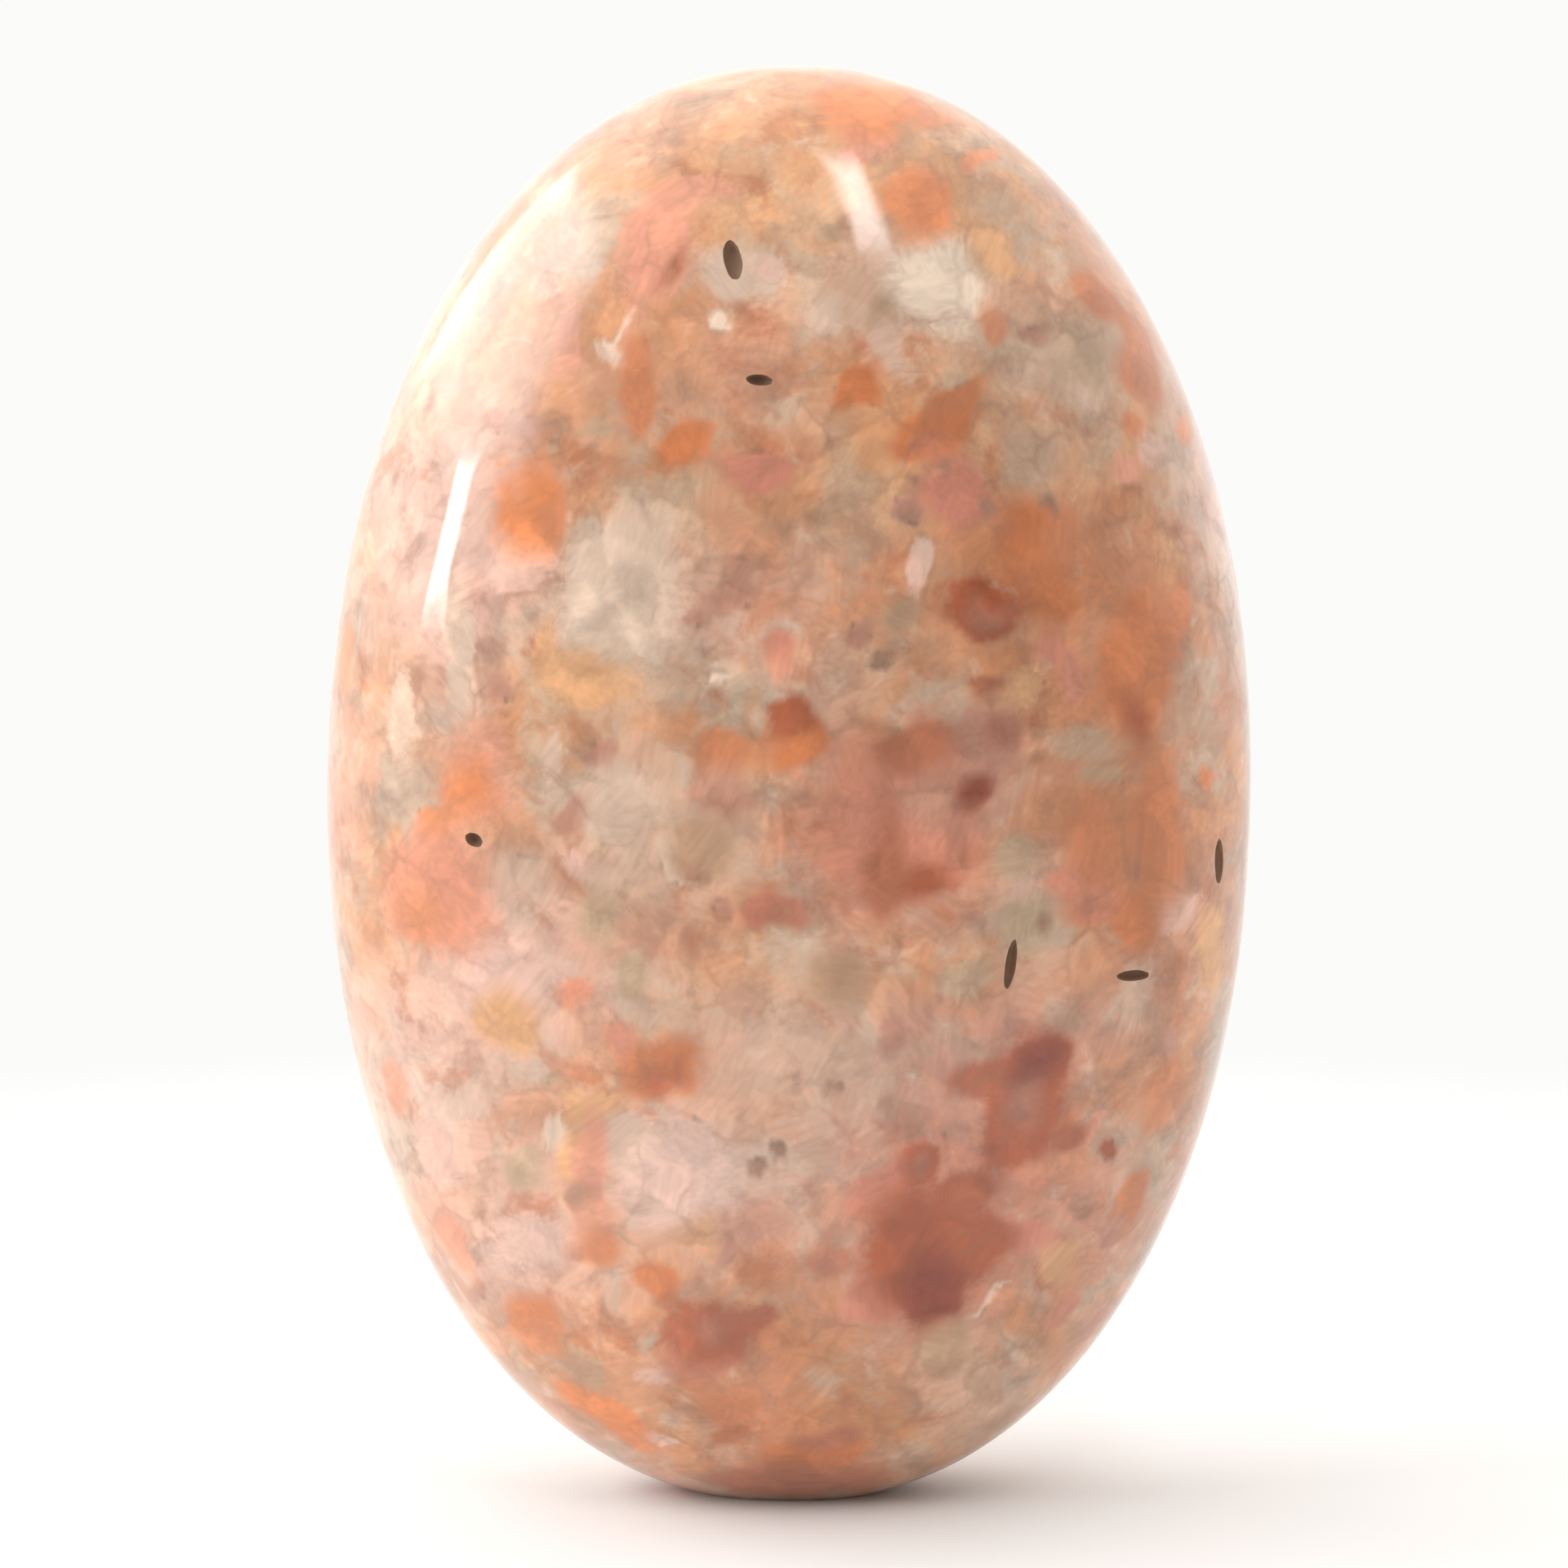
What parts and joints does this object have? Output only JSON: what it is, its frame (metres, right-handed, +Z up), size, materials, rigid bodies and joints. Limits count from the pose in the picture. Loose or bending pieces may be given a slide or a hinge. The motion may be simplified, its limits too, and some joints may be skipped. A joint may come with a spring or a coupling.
{
  "type": "polished sunstone palm stone",
  "caption": "Polished oval palm stone of mottled peach, orange and rust sunstone feldspar, standing on a small flat spot at its lower end.",
  "frame": {"origin": "on the surface that the stone stands on, under the middle of its box, on the flat spot at its lower end", "axes": "+Z up along the stone's length, +X to the right as seen from the front, +Y to the back through its thickness; the front face looks along -Y"},
  "size_m": [0.0424, 0.0248, 0.066],
  "materials": {
    "polished_sunstone": "polished"
  },
  "bodies": {
    "root": {"sunstone": "polished_sunstone"}
  },
  "joints": []
}
